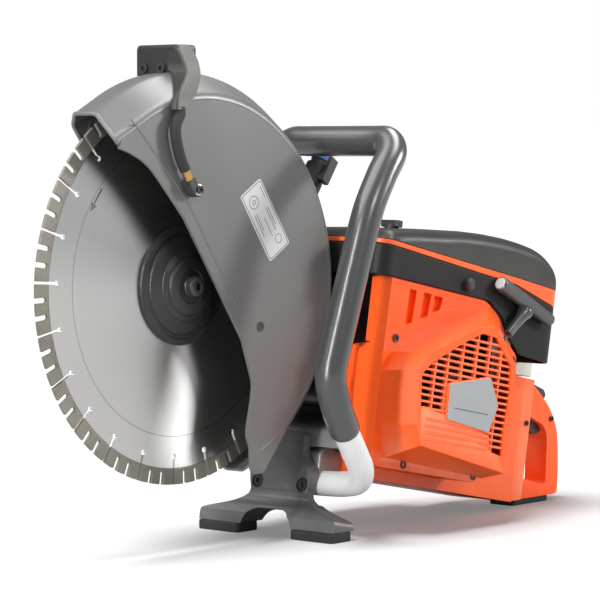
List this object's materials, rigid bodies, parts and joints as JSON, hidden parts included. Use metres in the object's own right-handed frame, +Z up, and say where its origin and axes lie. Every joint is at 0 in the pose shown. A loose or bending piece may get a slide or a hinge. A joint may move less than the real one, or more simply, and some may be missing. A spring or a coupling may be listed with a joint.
{
  "type": "petrol cut-off saw",
  "caption": "Handheld petrol power cutter: abrasive wheel under a swinging guard on a belt arm, wrap-round front handle, engine with recoil starter and a loop rear handle.",
  "frame": {"origin": "bottom centre of the whole machine standing on its feet", "axes": "+Z up, -Y towards the blade, +X towards the starter side"},
  "size_m": [0.209, 0.6956, 0.446],
  "materials": {
    "orange_plastic": "satin moulded",
    "cover_plastic": "satin moulded",
    "grip_plastic": "fine grain",
    "guard_alloy": "satin grey paint on cast alloy",
    "steel": "turned and brushed",
    "dark_steel": "blackened",
    "aluminium": "as cast",
    "silver_tube": "silver coated tube",
    "black_plastic": "matt",
    "rubber": "matt",
    "brass": "machined",
    "blue_plastic": "satin",
    "paper": "matt",
    "natural_plastic": "matt"
  },
  "bodies": {
    "frame": {"cutting_arm": "aluminium", "belt_guard": "black_plastic", "spindle_bearing_left": "steel", "spindle_bearing_right": "steel", "drive_belt": "rubber", "front_handle_tube": "silver_tube", "front_handle_grip": "grip_plastic", "front_stand": "aluminium", "front_foot_left": "rubber", "front_foot_right": "rubber", "crank_pin": "steel", "connecting_rod": "steel", "piston": "aluminium", "crankcase_right": "aluminium", "crankcase_left": "aluminium", "cylinder": "aluminium", "spark_plug": "natural_plastic", "recoil_spring": "steel", "muffler": "dark_steel", "carburettor": "aluminium", "air_filter": "paper", "starter_cover": "orange_plastic", "air_grille": "orange_plastic", "starter_rope": "rubber", "top_cover": "cover_plastic", "cover_band": "orange_plastic", "side_cover": "cover_plastic", "tank_housing": "orange_plastic", "av_mount_rear": "natural_plastic", "rear_handle": "orange_plastic", "rear_foot": "rubber", "water_valve": "black_plastic", "water_connector": "blue_plastic", "supply_hose": "rubber"},
    "blade": {"diamond_blade": "steel", "outer_flange": "dark_steel", "inner_flange": "dark_steel", "arbor_bolt": "dark_steel", "spindle_shaft": "steel", "blade_pulley": "aluminium"},
    "drum": {"clutch_drum": "steel"},
    "crank": {"crankshaft_left": "steel", "crankshaft_right": "steel", "flywheel": "aluminium", "clutch_hub": "dark_steel"},
    "starter_drum": {"starter_pulley": "black_plastic"},
    "guard": {"blade_guard": "guard_alloy", "guard_adjust_grip": "grip_plastic", "spray_hose": "rubber", "hose_fitting": "brass", "spray_nozzle": "black_plastic"},
    "trigger": {"throttle_trigger": "black_plastic"},
    "lockout": {"throttle_lockout": "black_plastic"},
    "pull": {"pull_handle": "grip_plastic"},
    "switch": {"stop_switch": "grip_plastic"},
    "choke": {"choke_lever": "blue_plastic"},
    "decompression": {"decompression_valve": "black_plastic"},
    "cap": {"fuel_cap": "black_plastic"},
    "knob": {"cover_knob": "black_plastic"},
    "valve_lever": {"water_valve_lever": "black_plastic"}
  },
  "joints": [
    {"name": "blade_spin", "type": "hinge", "parent": "frame", "child": "blade", "pos_m": [-0.0155, -0.17287, 0.235], "axis": [1, 0, 0], "continuous": true},
    {"name": "drum_spin", "type": "hinge", "parent": "frame", "child": "drum", "pos_m": [-0.0155, 0.08813, 0.118], "axis": [1, 0, 0], "continuous": true},
    {"name": "crank_spin", "type": "hinge", "parent": "frame", "child": "crank", "pos_m": [-0.0155, 0.08813, 0.118], "axis": [1, 0, 0], "continuous": true},
    {"name": "starter_drum_spin", "type": "hinge", "parent": "frame", "child": "starter_drum", "pos_m": [-0.0155, 0.08813, 0.118], "axis": [1, 0, 0], "range_deg": [-1500, 0]},
    {"name": "starter_pull", "type": "slide", "parent": "frame", "child": "pull", "axis": [0, 0.81, 0.5864], "range_m": [0, 0.75], "stiffness_N_per_m": 8, "springref_m": -0.6},
    {"name": "guard_swing", "type": "hinge", "parent": "frame", "child": "guard", "pos_m": [-0.0155, -0.17287, 0.235], "axis": [1, 0, 0], "range_deg": [-30, 25]},
    {"name": "throttle_trigger", "type": "hinge", "parent": "frame", "child": "trigger", "pos_m": [0.0115, 0.30214, 0.08825], "axis": [1, 0, 0], "range_deg": [0, 14], "stiffness_Nm_per_rad": 0.2, "springref_deg": -14.32},
    {"name": "throttle_lockout", "type": "hinge", "parent": "frame", "child": "lockout", "pos_m": [0.0115, 0.3039, 0.1128], "axis": [-1, 0, 0], "range_deg": [0, 14], "stiffness_Nm_per_rad": 0.15, "springref_deg": -14.32},
    {"name": "stop_switch", "type": "slide", "parent": "frame", "child": "switch", "axis": [0, 0.9816, -0.1908], "range_m": [0, 0.007]},
    {"name": "choke", "type": "slide", "parent": "frame", "child": "choke", "axis": [0, 0.9816, -0.1908], "range_m": [0, 0.014]},
    {"name": "decompression", "type": "slide", "parent": "frame", "child": "decompression", "axis": [-1, 0, 0], "range_m": [0, 0.004], "stiffness_N_per_m": 400, "springref_m": -0.004},
    {"name": "fuel_cap", "type": "hinge", "parent": "frame", "child": "cap", "pos_m": [-0.0435, 0.22016, 0.074], "axis": [1, 0, 0], "range_deg": [0, 90]},
    {"name": "cover_knob", "type": "hinge", "parent": "frame", "child": "knob", "pos_m": [0.0385, 0.05785, 0.27669], "axis": [0, 0.1908, 0.9816], "range_deg": [0, 90]},
    {"name": "water_valve", "type": "hinge", "parent": "frame", "child": "valve_lever", "pos_m": [-0.0335, 0.0307, 0.32782], "axis": [-1, 0, 0], "range_deg": [0, 90]}
  ],
  "couplings": [
    {"joint": "drum_spin", "follows": "blade_spin", "ratio": 2},
    {"joint": "starter_drum_spin", "follows": "starter_pull", "rad_per_m": -34.483}
  ]
}
